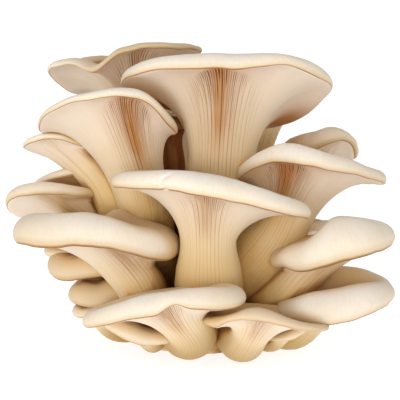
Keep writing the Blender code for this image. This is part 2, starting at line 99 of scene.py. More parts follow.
MUSHROOMS = [
    Mushroom("crown", 165, 263, 0.0, 1.0, (300, 72), (10, -16, 86.5), 15, 15, (13, -20, 126), 0.72,
             (8, 6.1, 0.42), (47, 38, 30, 38, 48, 40, 30, 38), (-8, -26, -25, -19, -6, 3.5, 4, 4.2),
             ((312, 10, 1.8, 0, 1), (335, 18, -2.2, 0, 1), (24, 24, 0, -4, 1))),
    Mushroom("front_centre", 150, 266, 0.0, 0.7, (277, 36), (3.5, -52, 54.5), 12.3, 15.3, (3.5, -55, 75), 0.72,
             (9, 6.5, 0.7), (43, 28, 20, 30, 41, 32, 24, 32), (-10, -8, -1, 3, 4.5, 6, 3, -2), ()),
    Mushroom("left_shoulder", 156, 294, 0.0, 1.0, (195, 55), (-27, -22, 74.5), 12.5, 12.5, (-41, -22, 106.5), 0.72,
             (6, 3.2, 0.7), (30, 28, 25, 28, 31, 30, 26, 28), (-5, -4, -5, -9, -6, 6, 11, 8.5), ((338, 32, -4, 0, 1),)),
    Mushroom("right_shoulder", 156, 240, 0.0, 1.2, (300, 50), (38, -29, 61), 12, 14.5, (50, -25, 82), 0.72,
             (7, 6, 0.68), (33, 26, 22, 26, 33, 28, 26, 28), (-5, -7, -3, -3, -4, 6, 5, 1.3), ((338, 20, -1.5, 0, 0),)),
    Mushroom("bottom_left", 126, 270, 0.12, 0.55, (255, 21), (-6, -61, 19.5), 10, 12.6, (-15, -72, 28), 0.72,
             (8, 6, 0.75), (34, 27, 23, 26, 34, 24, 18, 24), (5, 2.5, -1, -4, -7, -1, 1.8, 5),
             ((283, 15, 3.6, 0, 1), (338, 26, -2.5, 0, 1))),
    Mushroom("bottom_right", 117, 265, 0.65, 0.5, (299, 27), (21.5, -59, 14.8), 8.4, 11.6, (27, -68, 22.5), 0.72,
             (6, 3.4, 0.5), (28, 24, 22, 25, 25, 18, 16, 20), (-3, 0, 1.5, 1.5, 0, 2.8, 3, -0.5),
             ((200, 14, -2, 0, 1),)),
    Mushroom("left_front", 117, 290, 0.1, 0.6, (225, 30), (-29, -42.5, 37.5), 11, 11.5, (-45, -45, 54.5), 0.72,
             (11, 9, 1.0), (34, 26, 20, 28, 36, 28, 22, 28), (-8, -8, -8, -6.5, -1.5, 1.5, 0.5, -5),
             ((228, 28, -2, 0, 1), (298, 18, 1, 0, 0))),
    Mushroom("right_front", 72, 285, 0.1, 0.4, (315, 30), (44, -40, 35.5), 9, 9, (60, -45, 50.5), 1.1,
             (14, 11.5, 0.4), (25, 24, 22, 24, 27.5, 24, 22, 24), (3, 1, -2, -4.5, -8.2, -8, -2.5, 1),
             ((206, 16, 2.4, 0, 0),)),
    Mushroom("right_lower", 63, 270, 0.1, 0.4, (325, 18), (48, -39, 15), 6.7, 8, (60, -45, 26), 0.72,
             (11, 8.3, 0.6), (25, 24, 22, 24, 25, 25, 24, 26), (4, 6.5, 7, 1.5, -6, -5.8, -4.3, 1), ()),
    Mushroom("back_crown", 114, 285, 0.8, 0.6, (120, 60), (-28, 14, 99.5), 9, 10, (-34, 15, 125), 0.72,
             (6, 2.6, 0.8), (34, 30, 28, 32, 36, 34, 26, 32), (8, 2, -5, -13, -2, 4.5, 9.8, 11.5),
             ((243, 12, -5.5, 0, 0.15),)),
    Mushroom("left_tongue", 45, 250, 0.0, 0.15, (198, 42), (-47.5, -13, 79.5), 8, 9, (-65, -5, 89.5), 0.72,
             (6, 3.2, 0.7), (20, 17, 15, 15, 16, 15, 14, 17), (-1.5, -7, -7, -3, 1, 5, 6.6, 3.2), ()),
    Mushroom("right_back", 48, 290, 0.45, 0.2, (20, 50), (48, 8, 72.5), 6, 7, (57, 10, 87.5), 1.15,
             (12, 6, 0.9), (15.5, 15, 14, 15, 16, 15, 15, 15.2), (-5, -4, -3, -3, -1, 2.4, 4.5, 3.2),
             ((238, 30, -2.5, 0, 1), (335, 36, 3.5, 0, 1))),
    Mushroom("left", 57, 260, 0.3, 0.25, (197, 27), (-49, -14, 58.5), 6.5, 7, (-66, -15, 67.5), 0.72,
             (6, 4.6, 0.55), (18.5, 17, 18, 20, 22, 20, 17.5, 17.5), (1.5, -3.5, -8, -11, -3, 4, 5.3, 3.8), ()),
    Mushroom("left_back", 48, 250, 0.3, 0.2, (170, 35), (-40, 3, 63.5), 5, 6, (-56, 0, 74.5), 0.72,
             (5, 3, 0.6), (18, 16, 15, 18, 20, 18, 15, 16), (3, -2, -5, -6, -3, 2, 5, 4), ()),
    Mushroom("lower_left", 48, 250, 0.7, 0.2, (203, 20), (-42, -27, 31.5), 5, 6, (-52, -30, 38.5), 1.15,
             (9, 7, 0.9), (20, 17, 14, 14, 15, 15, 14, 18), (-2, -1, -1, -1, -1, -3, -2, -1), ()),
    Mushroom("lower_left_small", 39, 250, 0.8, 0.2, (220, 15), (-38.5, -29, 19.6), 4.5, 5.5, (-45, -32.5, 26.4), 1.1,
             (8, 6, 0.9), (18, 16, 13, 12, 12.5, 13, 12, 15), (0.5, 3, 3, 1.5, -1, -2, -2.5, 0), ()),
    Mushroom("under_left", 45, 250, 0.4, 0.2, (238, 14), (-23, -44, 9.5), 4.5, 4.5, (-27, -52, 15), 1.0,
             (8, 5, 0.55), (18, 16, 15, 15, 16, 15, 13, 15), (-3, -1, 1, 2, 3, 1, -3.5, -4), ()),
    Mushroom("under_right", 39, 290, 0.4, 0.2, (307, 15), (35, -39, 8), 3.5, 3.8, (40, -45, 13.5), 1.0,
             (5, 3, 0.5), (8.5, 10, 14, 16, 14, 11, 10.5, 9.5), (1, 1, 1, 0, -3, -3, -2, 1), ()),
    Mushroom("lower_left_bud", 30, 240, 0.5, 0.15, (222, 12), (-44, -33, 13.5), 3, 3.2, (-50, -36, 20), 1.15,
             (3.5, 3, 0.9), (7, 7, 6.5, 6, 6.5, 6.5, 6, 6.5), (0, 0, 0, 0, -0.5, -1.5, -1, 0), ()),
    Mushroom("left_sliver", 33, 230, 0.4, 0.2, (184, 24), (-47, -17, 38.5), 4.5, 5, (-58, -22, 46), 1.0,
             (5, 3, 0.8), (12, 11, 11, 12, 12, 12, 11, 12), (0, 2, 3, 2, -1, -2, -1, 0), ()),
    Mushroom("right_inner", 39, 280, 0.0, 0.3, (350, 40), (44, -8, 44.2), 4.5, 5, (46, -8, 52.2), 0.95,
             (5, 3, 0.8), (13, 12, 12, 13, 14, 13, 12, 12), (2, 2, 1, -1, -2, -1, 1, 2), ()),
    Mushroom("top_back", 42, 100, 0.8, 0.5, (105, 50), (-38, 46, 109.5), 5.5, 6.5, (-47, 48, 124.5), 0.72,
             (6, 3.5, 0.8), (15, 14, 13, 14, 14, 13, 12, 14), (0, -2, -3, -2, 0, 2, 3, 2), ()),
    Mushroom("inner", 33, 270, 0.9, 0.4, (160, 72), (-13, 0, 90.5), 5, 6.5, (-15, 2, 100), 0.72,
             (4, 2.5, 0.8), (11, 10, 9, 10, 11, 10, 9, 10), (0, 1, 2, 1, 0, 0, 0, 0), ()),
    Mushroom("crown_back", 51, 60, 0.2, 0.6, (60, 65), (30, 25, 94.5), 7, 7.5, (38, 30, 110.5), 0.72,
             (6, 4, 0.7), (18, 18, 18, 18, 20, 18, 16, 17), (-2, -6, -7, -4, 0, 2, 4, 2), ()),
    Mushroom("back_left", 48, 140, 0.1, 0.8, (150, 40), (-42, 38, 72.5), 6, 7, (-52, 48, 86.5), 0.72,
             (7, 5, 0.7), (24, 22, 20, 22, 24, 22, 18, 20), (2, -2, -6, -5, -1, 4, 5, 4), ()),
    Mushroom("back_centre", 60, 90, 0.0, 1.0, (90, 45), (-4, 50, 78.5), 8, 9, (-4, 62, 96.5), 0.72,
             (8, 5, 0.6), (30, 26, 24, 26, 30, 24, 20, 24), (0, -5, -8, -6, 0, 4, 7, 4), ()),
    Mushroom("back_right", 48, 50, 0.1, 0.8, (30, 40), (42, 40, 58), 6, 7, (48, 50, 73), 0.72,
             (7, 5, 0.7), (22, 22, 20, 20, 20, 18, 16, 18), (-1, -4, -6, -3, 1, 4, 5, 3), ()),
    Mushroom("back_low_left", 48, 110, 0.0, 0.8, (140, 22), (-30, 52, 42.5), 6.5, 7.5, (-36, 62, 57.5), 0.72,
             (7, 5, 0.7), (24, 22, 20, 22, 24, 20, 17, 20), (1, -3, -5, -4, 0, 3, 4, 2), ()),
    Mushroom("back_low_right", 48, 75, 0.1, 0.8, (60, 22), (20, 54, 40.5), 6.5, 7.5, (25, 65, 54.5), 0.72,
             (7, 5, 0.7), (25, 22, 20, 22, 24, 20, 17, 20), (-1, -4, -5, -3, 0, 3, 4, 3), ()),
    Mushroom("back_side_left", 42, 170, 0.2, 0.6, (165, 15), (-48, 22, 38.5), 5.5, 6.5, (-60, 26, 50.5), 0.72,
             (6, 4, 0.7), (20, 18, 17, 19, 21, 18, 16, 18), (2, 0, -3, -4, -2, 1, 3, 3), ()),
    Mushroom("back_side_right", 42, 10, 0.2, 0.6, (10, 18), (50, 20, 36.5), 5.5, 6.5, (62, 24, 47.5), 0.72,
             (6, 4, 0.7), (20, 19, 17, 18, 20, 18, 16, 18), (-2, -3, -3, 0, 2, 3, 3, 0), ()),
    Mushroom("back_foot_left", 39, 125, 0.2, 0.5, (125, 13), (-24, 44, 16.5), 5, 6, (-32, 54, 26.5), 0.72,
             (6, 4, 0.8), (20, 18, 16, 18, 20, 17, 15, 17), (1, -2, -4, -4, -1, 2, 3, 2), ()),
    Mushroom("back_foot_right", 39, 55, 0.2, 0.5, (55, 13), (26, 42, 16.5), 5, 6, (34, 50, 25.5), 0.72,
             (6, 4, 0.8), (20, 18, 16, 18, 20, 17, 15, 17), (-1, -3, -3, -2, 0, 2, 3, 2), ()),
]

# Lobes that hang in shadow from the far side of a cap, painted warm and dark as painted shade: the mushroom, the lobe's
# bearing and width in degrees, and how strong the painted shade is.
PAINTED_SHADE_LOBES = (("crown", 40, 22, 1.4), ("crown", 145, 36, 1.3), ("right_shoulder", 22, 24, 0.9),
               ("left_back", 260, 90, 0.7), ("back_crown", 285, 70, 0.45))
# What is added to how shut in a mushroom is felt to be, and so to the shade painted on it. The first stands deep among
# the others.
PAINTED_SHADE_SHIFT = {"inner": 0.25, "crown_back": 0.1, "left_back": -0.2, "back_crown": -0.15, "crown": -0.12,
           "bottom_left": -0.1, "front_centre": -0.12, "right_shoulder": -0.1}
# A tan cap's pale lobe: its bearing and width in degrees, and how much of the tan it loses.
PALE_LOBES = {"back_crown": (200, 38, 0.9)}
# The crack: its bearing and width in degrees and its depth in mm. The knob: its place, height and radius in mm.
CRACKED, CRACK_BEARING, CRACK_WIDTH, CRACK_DEPTH = "front_centre", 231, 1.4, 2.3
KNOBBED, KNOB_PLACE, KNOB_HEIGHT, KNOB_RADIUS = "left_front", (-36, -38), 8, 7


# ---------------------------------------------------------------- shapes

def unit(vector):
    return vector / np.linalg.norm(vector, axis=-1, keepdims=True)


def ease(low, high, x):
    """0 below low, 1 above high, and a smooth rise between."""
    t = np.clip((x - low) / (high - low), 0, 1)
    return t * t * (3 - 2 * t)


def bell(x, wide):
    return np.exp(-((x / wide) ** 2))


def away_from(bearings, degrees):
    """How far bearings lie from one, in degrees, the short way round."""
    return (np.degrees(bearings) - degrees + 180) % 360 - 180


def round_the_edge(values, bearings):
    """The smooth periodic curve through eight values, one at every 45 degrees."""
    waves = np.fft.rfft(values) / len(values)
    total = np.full_like(bearings, waves[0].real)
    for k in range(1, 5):
        share = 1 if k == 4 else 2
        total += share * (waves[k] * np.exp(1j * k * bearings)).real
    return total


def bezier(p0, p1, p2, p3, t):
    return p0 * (1 - t) ** 3 + 3 * p1 * t * (1 - t) ** 2 + 3 * p2 * t**2 * (1 - t) + p3 * t**3


def bezier_slope(p0, p1, p2, p3, t):
    return unit((p1 - p0) * (1 - t) ** 2 + 2 * (p2 - p1) * t * (1 - t) + (p3 - p2) * t**2)


def ring(centre, axis, radius, bearings):
    """A circle round an axis. Its bearings stay those of the ground, turned the short way from upright."""
    turn = np.cross(UP, axis)
    cross = np.array([[0, -turn[2], turn[1]], [turn[2], 0, -turn[0]], [-turn[1], turn[0], 0]])
    tilt = np.eye(3) + cross + cross @ cross / (1 + axis[2])
    flat = np.stack([np.cos(bearings), np.sin(bearings), 0 * bearings], axis=-1)
    return centre + np.multiply.outer(radius, np.ones(3)) * flat @ tilt.T


def butt_point(bearing, height):
    """A point on the butt's egg and the direction out of it, from two angles in degrees."""
    b, h = np.radians(bearing), np.radians(height)
    out = np.array([np.cos(h) * np.cos(b), np.cos(h) * np.sin(b), np.sin(h)])
    return BUTT_RADII * out, unit(out / BUTT_RADII)


def edge_at(m, bearings, ripples):
    """The cap's edge, with the folds and the small ripples that its solid is too coarse for."""
    reach = round_the_edge(m.reach, bearings)
    rise = round_the_edge(m.rise, bearings)
    for bearing, wide, lift, pull, level in m.folds:
        rise = rise + lift * bell(away_from(bearings, bearing), wide)
        reach = reach + pull * bell(away_from(bearings, bearing), wide)
    for waves, size, shift in ripples:
        rise = rise + size * np.sin(waves * bearings + shift)
        reach = reach + 0.6 * size * np.cos(waves * bearings + 2 * shift)
    return np.array(m.middle, float) + np.stack([reach * np.cos(bearings), reach * np.sin(bearings), rise], axis=-1)


def loft(m, chance):
    """A mushroom's rings of points from root to cap, and what its gills and colours follow, point by point."""
    rows = BIG_ROWS if m.gills > BIG_FROM else SMALL_ROWS
    offsets = np.add.outer(np.arange(m.gills), GILL_COLUMNS).ravel()
    turn = offsets / m.gills
    # No two gills are the same distance apart, and none runs quite straight.
    sway = turn + sum(0.08 / (2 * np.pi * k) * np.sin(2 * np.pi * (k * turn + chance.random())) for k in (5, 9, 16))
    fine = min(1.0, np.mean(m.reach) / 32) ** 2
    ripples = [(k, chance.uniform(0.3, 1) * size * fine, chance.uniform(0, 6.3))
               for k, size in RIPPLES]
    nudge, first, second = (np.interp(offsets, np.arange(m.gills + 1), np.append(drawn, drawn[0]))
                            for drawn in chance.uniform(-1, 1, (3, m.gills)))

    def bearings_at(along):
        wander = 0.15 * nudge + 0.1 * first * np.sin(2.4 * along) + 0.1 * second * np.sin(4.1 * along)
        return 2 * np.pi * (sway + wander * ease(0.2, 1, along) / m.gills)

    surface, out = butt_point(*m.root)
    root = surface - ROOT_DEPTH * out
    neck, middle = np.array(m.neck, float), np.array(m.middle, float)
    rising = middle - neck
    axis = unit(rising + 0.3 * np.linalg.norm(rising) * UP)
    length = np.linalg.norm(neck - root)
    spine = (root, root + 0.45 * length * out, neck - 0.32 * length * axis, neck)
    whole = edge_at(m, np.arange(720) * np.pi / 360, ())
    balance = whole.mean(axis=0)
    normal = unit(np.cross(whole - balance, np.roll(whole - balance, -1, axis=0)).sum(axis=0))

    rings, alongs, all_bearings = [], [], []

    def keep(points, along, bearings):
        rings.append(points)
        alongs.append(along)
        all_bearings.append(bearings)

    for t in np.linspace(0, STEM_END, rows[0]):
        bearings = bearings_at(t)
        radius = m.waist + (m.bulge - m.waist) * np.sin(np.pi * t) ** 2
        radius *= 0.72 + 0.28 * min(1.0, t / 0.3)
        keep(ring(bezier(*spine, t), bezier_slope(*spine, t), radius, bearings), t, bearings)
    for step in np.linspace(0, 1, rows[1] + 2)[1:-1]:
        bearings = bearings_at(STEM_END + (1 - STEM_END) * step)
        below = ring(bezier(*spine, STEM_END), bezier_slope(*spine, STEM_END),
                     m.waist + (m.bulge - m.waist) * np.sin(np.pi * STEM_END) ** 2, bearings)
        above = ring(neck, axis, m.waist, bearings)
        third = np.linalg.norm(above - below, axis=-1, keepdims=True) / 3
        points = bezier(below, below + third * bezier_slope(*spine, STEM_END), above - third * axis, above, step)
        keep(points, STEM_END + (1 - STEM_END) * step, bearings)

    def parts_at(along):
        bearings = bearings_at(along)
        edge = edge_at(m, bearings, ripples)
        around = edge - balance
        outward = unit(around - np.outer(around @ normal, normal))
        return bearings, edge, outward

    for t in np.linspace(0, 1, rows[2]) ** 0.93:
        bearings, edge, outward = parts_at(1 + t)
        foot = ring(neck, axis, m.waist, bearings)
        climb = (edge - foot) @ axis
        spread = np.linalg.norm(edge - foot - np.outer(climb, axis), axis=-1)
        start = foot + np.outer(FLARE * np.maximum(climb, 3), axis)
        end = edge - outward * (FLARE * spread)[:, None] + 0.12 * normal * spread[:, None]
        keep(bezier(foot, start, end, edge, t), 1 + t, bearings)

    bearings, edge, outward = parts_at(2)
    ends = m.margin[2]
    front = np.maximum(0, np.cos(np.radians(away_from(bearings, m.faces))))
    width, height = (size * (ends + (1 - ends) * front)[:, None] for size in m.margin[:2])
    roll = edge - outward * width * np.cos(EDGE_TUCK) - normal * height * np.sin(EDGE_TUCK)
    lifted = sum(0.7 * size * np.sin(waves * bearings + shift) for waves, size, shift in ripples)
    for bearing, wide, lift, pull, level in m.folds:
        lifted = lifted + level * lift * bell(away_from(bearings, bearing), wide)
    for step in np.linspace(0, 1, rows[3] + 1)[1:]:
        angle = EDGE_TUCK + (np.pi / 2 - EDGE_TUCK) * step
        points = roll + outward * width * np.cos(angle) + normal * height * np.sin(angle)
        keep(points - np.outer(lifted * step, UP), 2 + step, bearings)

    crest = rings[-1]
    hollow = neck + axis * m.dish * ((crest - neck) @ axis).mean()
    fall = (crest - hollow) @ normal
    across = crest - hollow - np.outer(fall, normal)
    for x in np.linspace(1, 0, rows[4] + 1)[1:-1]:
        points = hollow + across * x + np.outer(fall, normal) * (1 - (1 - x**2) ** 2)
        keep(points, 4 - x, bearings)
    return np.array(rings), np.array(alongs), np.array(all_bearings), turn, root, hollow


def outward_normals(grid):
    """The skin's normals, from each point's neighbours along and round it."""
    along = np.gradient(grid, axis=0)
    round_it = np.roll(grid, -3, axis=1) - np.roll(grid, 3, axis=1)
    return unit(np.cross(round_it, along) + 1e-9)


def occlusion_for_painted_shade(grid, out, cluster):
    """How closed in each point is by its neighbours, from 0 to 1, from rays out of every eighth point. Shade is painted
    by it.
    """
    steps = np.arange(SHELTER_RAYS) + 0.5
    height, round_it = 1 - 2 * steps / SHELTER_RAYS, steps * np.pi * (1 + 5**0.5)
    flat = np.sqrt(1 - height**2)
    rays = np.stack([flat * np.cos(round_it), flat * np.sin(round_it), height], axis=-1)
    starts, normals = grid[::2, ::4], out[::2, ::4]
    met = np.zeros(starts.shape[:2])
    for row, column in np.ndindex(met.shape):
        normal = normals[row, column]
        start = Vector((starts[row, column] + RAY_START * normal) * MM)
        for ray in unit(rays + 1.05 * normal):
            hit = cluster.ray_cast(start, Vector(ray), SHELTER_REACH)[3]
            met[row, column] += 0 if hit is None else 1 - 0.7 * hit / SHELTER_REACH
    met = (met + 0.5 * (np.roll(met, 1, axis=1) + np.roll(met, -1, axis=1))) / 2 / SHELTER_RAYS
    rows, columns = grid.shape[:2]
    met = np.array([np.interp(np.arange(columns), np.arange(0, columns + 4, 4), np.append(r, r[0])) for r in met])
    return np.array([np.interp(np.arange(rows), np.arange(0, rows, 2), c) for c in met.T]).T


def closed_mesh(name, grid, bottom, top, values):
    """A closed skin over a grid of rings, with a value for each point of the grid under each name."""
    rows, columns = grid.shape[:2]
    points = np.vstack([bottom, grid.reshape(-1, 3), top]) * MM
    number = 1 + np.arange(rows * columns).reshape(rows, columns)
    after = np.roll(number, -1, axis=1)
    quads = np.stack([number[:-1], after[:-1], after[1:], number[1:]], axis=-1).reshape(-1, 4)
    low = np.stack([np.zeros(columns, int), after[0], number[0]], axis=-1)
    high = np.stack([number[-1], after[-1], np.full(columns, len(points) - 1)], axis=-1)
    corners = np.concatenate([low.ravel(), high.ravel(), quads.ravel()])
    starts = np.concatenate([np.arange(2 * columns) * 3, 6 * columns + np.arange(len(quads)) * 4])
    mesh = bpy.data.meshes.new(name)
    mesh.vertices.add(len(points))
    mesh.vertices.foreach_set("co", points.astype(np.float32).ravel())
    mesh.loops.add(len(corners))
    mesh.loops.foreach_set("vertex_index", corners.astype(np.int32))
    mesh.polygons.add(len(starts))
    mesh.polygons.foreach_set("loop_start", starts.astype(np.int32))
    for key, value in values.items():
        filled = np.broadcast_to(value, (rows, columns)).ravel()
        filled = np.concatenate([filled[:1], filled, filled[-1:]])
        mesh.attributes.new(key, "FLOAT", "POINT").data.foreach_set("value", filled.astype(np.float32))
    mesh.update(calc_edges=True)
    mesh.validate()
    mesh.shade_smooth()
    thing = bpy.data.objects.new(name, mesh)
    bpy.context.collection.objects.link(thing)
    return thing


def add_mushroom(m, number, cluster):
    """The fine skin of one mushroom, with what its gills and colours follow stored on it."""
    chance = np.random.default_rng(number + 11)
    grid, alongs, bearings, turn, root, hollow = loft(m, chance)
    along = alongs[:, None]
    out = outward_normals(grid)

    # The gills are deep at the heart, painted warm and dark there as painted shade, and spread from it in a fan that is
    # lower and paler at its sides.
    beside = np.abs(away_from(bearings, m.faces))
    fan, core = bell(beside, 42), bell(beside, 19)
    patches = 1 + 0.12 * np.sin(5 * bearings + number) + 0.08 * np.sin(13 * bearings)
    heart = m.deep * (0.1 + 0.65 * fan + 0.4 * core + 0.35 * bell(beside - 120, 30)) * patches
    gap = np.linalg.norm(np.roll(grid, -4, axis=1) - grid, axis=-1)
    # The furrows end near the edge under the face, and halfway up the funnel on the other sides.
    ends = 1.55 + 0.46 * bell(beside, 40)
    fades = 1 - ease(ends - 0.04 - 0.55 * (1 - fan), ends, along)
    # They are shallow down the stem, deepest in the funnel and shallower again towards the edge.
    shows = ease(0.05, 0.3, along) * (0.2 + 0.2 * ease(0.7, 1, along) + 0.6 * ease(1.0, 1.3, along))
    shows = shows * (1 - 0.55 * ease(1.7, 2.0, along))
    depth = np.minimum(FURROW_DEPTH * gap, DEEPEST) * shows * fades * np.minimum(1.1, heart + 0.15)
    # Painted shade: the heart of the funnel and the fan below the edge are painted warmer and darker.
    painted_warm_shade = (0.35 * bell(beside, 24) + 0.62 * bell(beside, 10)) * ease(1.0, 1.35, along)
    painted_warm_shade = m.deep * (painted_warm_shade + 0.4 * fan * ease(0.7, 1.15, along)) * patches

    # A thin crease where the margin is rolled onto the gills.
    grid = grid - out * (CREASE_DEPTH * bell(along - CREASE_AT, 0.022))[..., None]
    grid, bruise = extra_marks(m, grid, along, bearings, out)
    # Only the flesh below 34 mm and under the funnel is darkened, most towards the bottom.
    low_darkening = (1 - ease(12, 34, grid[..., 2])) * (1 - ease(0.75, 1.2, along))
    # Painted shade: each cap is painted browner towards its sides, away from the bearing it faces.
    tan = m.tan + 0.4 * (1 - m.tan) * ease(20, 110, beside)
    # Painted shade on the lobes that hang in shadow.
    for name, bearing, wide, strength in PAINTED_SHADE_LOBES:
        if m.name == name:
            painted_warm_shade = np.maximum(painted_warm_shade, strength * bell(away_from(bearings, bearing), wide) * ease(1.1, 1.7, along))
    if m.name in PALE_LOBES:
        bearing, wide, share = PALE_LOBES[m.name]
        tan = tan * (1 - share * bell(away_from(bearings, bearing), wide))
    values = {"turn": turn, "along": along, "depth": depth * MM, "painted_warm_shade": painted_warm_shade, "tan": tan, "bruise": bruise,
              "low_darkening": low_darkening,
              "lines": fades * np.minimum(1, heart + 0.2),
              "occlusion_shade": occlusion_for_painted_shade(grid, out, cluster) + PAINTED_SHADE_SHIFT.get(m.name, 0)}
    return closed_mesh(m.name + "_mushroom", grid, root, hollow, values)


def extra_marks(m, grid, along, bearings, out):
    """The crack in the front mushroom's margin and the knob on its left neighbour's cap."""
    bruise = np.zeros(grid.shape[:2])
    if m.name == CRACKED:
        jagged = away_from(bearings, CRACK_BEARING) + 3 * np.sin(9 * along)
        crack = bell(jagged, CRACK_WIDTH) * ease(1.98, 2.02, along)
        crack = crack * (1 - ease(2.35, 2.75, along))
        grid = grid - out * (CRACK_DEPTH * crack)[..., None]
        bruise = crack
    if m.name == KNOBBED:
        knob = np.hypot(grid[..., 0] - KNOB_PLACE[0], grid[..., 1] - KNOB_PLACE[1])
        grid = grid + UP * (KNOB_HEIGHT * bell(knob, KNOB_RADIUS) * ease(2.5, 2.9, along))[..., None]
    return grid, bruise


def add_butt():
    """The lump that the stems share, with the dents and threads of the wood chips that it grew through."""
    columns, rows = 160, 40
    bearings = np.arange(columns) * 2 * np.pi / columns
    lobes = 1 + sum(size * np.sin(n * bearings + shift) for n, size, shift in BUTT_LOBES)
    heights = np.linspace(0, 1, rows, endpoint=False)[:, None] * np.pi / 2
    flat = np.cos(heights) * lobes
    dents = 1 + 0.012 * np.sin(17 * bearings + 5 * heights) * np.sin(14 * heights) * np.cos(heights)
    grid = np.stack([flat * np.cos(bearings) * dents, flat * np.sin(bearings) * dents,
                     np.broadcast_to(np.sin(heights), flat.shape)], axis=-1) * BUTT_RADII
    return closed_mesh("cut_butt", grid, np.zeros(3), BUTT_RADII * UP, {})


# ---------------------------------------------------------------- nodes

def linear(code):
    """A colour's linear RGBA from its sRGB hex value."""
    values = [int(code[i:i + 2], 16) / 255 for i in (1, 3, 5)]
    return (*[v / 12.92 if v <= 0.04045 else ((v + 0.055) / 1.055) ** 2.4 for v in values], 1.0)


def add(tree, kind, inputs=None, stops=None, **settings):
    """Adds a node, with its settings, a ramp's stops, and values or links for its inputs."""
    node = tree.nodes.new(kind)
    for name, value in settings.items():
        setattr(node, name, value)
    if stops:
        ramp, places = node.color_ramp.elements, sorted(stops)
        ramp[0].position, ramp[1].position = places[0], places[-1]
        for place in places[1:-1]:
            ramp.new(place)
        for stop, place in zip(ramp, places):
            stop.color = linear(stops[place])
    for key, value in (inputs or {}).items():
        if isinstance(value, bpy.types.Node):
            value = next(socket for socket in value.outputs if socket.enabled)
        if isinstance(value, bpy.types.NodeSocket):
            tree.links.new(value, node.inputs[key])
        else:
            node.inputs[key].default_value = value
    return node


def gill_tree():
    """Sinks a furrow beside each gill. Two in three are short and start part of the way up the funnel."""
    tree = bpy.data.node_groups.new("raise gills", "GeometryNodeTree")
    tree.is_modifier = True
    face = tree.interface
    face.new_socket("Geometry", in_out="INPUT", socket_type="NodeSocketGeometry")
    for name, kind, value in (("Gills", "NodeSocketInt", 60), ("Unevenness", "NodeSocketFloat", 0.0004),
                              ("Seed", "NodeSocketInt", 1)):
        face.new_socket(name, in_out="INPUT", socket_type=kind).default_value = value
    for name in ("Gill flesh", "Cap skin"):
        face.new_socket(name, in_out="INPUT", socket_type="NodeSocketMaterial")
    face.new_socket("Geometry", in_out="OUTPUT", socket_type="NodeSocketGeometry")
    given = add(tree, "NodeGroupInput").outputs

    turn, along, depth = (add(tree, "GeometryNodeInputNamedAttribute", {"Name": name}, data_type="FLOAT")
                          for name in ("turn", "along", "depth"))
    place = add(tree, "ShaderNodeMath", {0: turn, 1: given["Gills"]}, operation="MULTIPLY")
    place = add(tree, "ShaderNodeMath", {0: place, 1: 0.001}, operation="ADD")
    gill = add(tree, "ShaderNodeMath", {0: place}, operation="FLOOR")
    phase = add(tree, "ShaderNodeMath", {0: place}, operation="FRACT")
    furrow = add(tree, "ShaderNodeMath", {0: phase, 1: 0.5}, operation="GREATER_THAN")
    third = add(tree, "ShaderNodeMath", {0: gill, 1: 3.0}, operation="MODULO")
    odd = add(tree, "ShaderNodeMath", {0: third, 1: 0.5}, operation="GREATER_THAN")
    chance = add(tree, "FunctionNodeRandomValue", {"Min": 0.0, "Max": 1.0, "ID": gill, "Seed": given["Seed"]})
    # A short gill starts between 1.1 and 1.65 along, a long one runs down the stem.
    starts = add(tree, "ShaderNodeMath", {0: chance, 1: 0.55, 2: 1.1}, operation="MULTIPLY_ADD")
    begins = add(tree, "ShaderNodeMath", {0: along, 1: starts}, operation="SUBTRACT")
    begins = add(tree, "ShaderNodeMath", {0: begins, 1: 5.0}, operation="MULTIPLY", use_clamp=True)
    short = add(tree, "ShaderNodeMix", {0: odd, 2: 1.0, 3: begins}, data_type="FLOAT")
    uneven = add(tree, "ShaderNodeMath", {0: chance, 1: 0.9, 2: 0.25}, operation="MULTIPLY_ADD")
    amount = add(tree, "ShaderNodeMath", {0: furrow, 1: short}, operation="MULTIPLY")
    amount = add(tree, "ShaderNodeMath", {0: amount, 1: uneven}, operation="MULTIPLY")
    sink = add(tree, "ShaderNodeMath", {0: amount, 1: depth}, operation="MULTIPLY")

    where = add(tree, "GeometryNodeInputPosition")
    lumps = add(tree, "ShaderNodeTexNoise", {"Vector": where, "Scale": 55.0, "Detail": 3.0, "Roughness": 0.55})
    lumps = add(tree, "ShaderNodeMath", {0: lumps.outputs[0], 1: 0.5}, operation="SUBTRACT")
    lumps = add(tree, "ShaderNodeMath", {0: lumps, 1: given["Unevenness"]}, operation="MULTIPLY")
    lift = add(tree, "ShaderNodeMath", {0: lumps, 1: sink}, operation="SUBTRACT")
    normal = add(tree, "GeometryNodeInputNormal")
    shift = add(tree, "ShaderNodeVectorMath", {0: normal, "Scale": lift}, operation="SCALE")

    stored = add(tree, "GeometryNodeStoreNamedAttribute",
                 {"Geometry": given["Geometry"], "Name": "furrow", "Value": amount}, data_type="FLOAT", domain="POINT")
    moved = add(tree, "GeometryNodeSetPosition", {"Geometry": stored, "Offset": shift})
    under = add(tree, "FunctionNodeCompare", {"A": along, "B": SKIN_FROM}, data_type="FLOAT", operation="LESS_THAN")
    real = add(tree, "GeometryNodeRealizeInstances", {"Geometry": moved})
    skin = add(tree, "GeometryNodeSetMaterial", {"Geometry": real, "Material": given["Cap skin"]})
    flesh = add(tree, "GeometryNodeSetMaterial",
                {"Geometry": skin, "Selection": under, "Material": given["Gill flesh"]})
    add(tree, "NodeGroupOutput", {"Geometry": flesh})
    return tree


def raise_gills(thing, tree, values):
    """Runs the gill tree on a mushroom and keeps the result as its mesh."""
    work = thing.modifiers.new("gills", "NODES")
    work.node_group = tree
    for socket in tree.interface.items_tree:
        if socket.in_out == "INPUT" and socket.name in values:
            work[socket.identifier] = values[socket.name]
    view = bpy.context.evaluated_depsgraph_get()
    mesh = bpy.data.meshes.new_from_object(thing.evaluated_get(view))
    thing.modifiers.clear()
    thing.data = mesh
    mesh.shade_smooth()


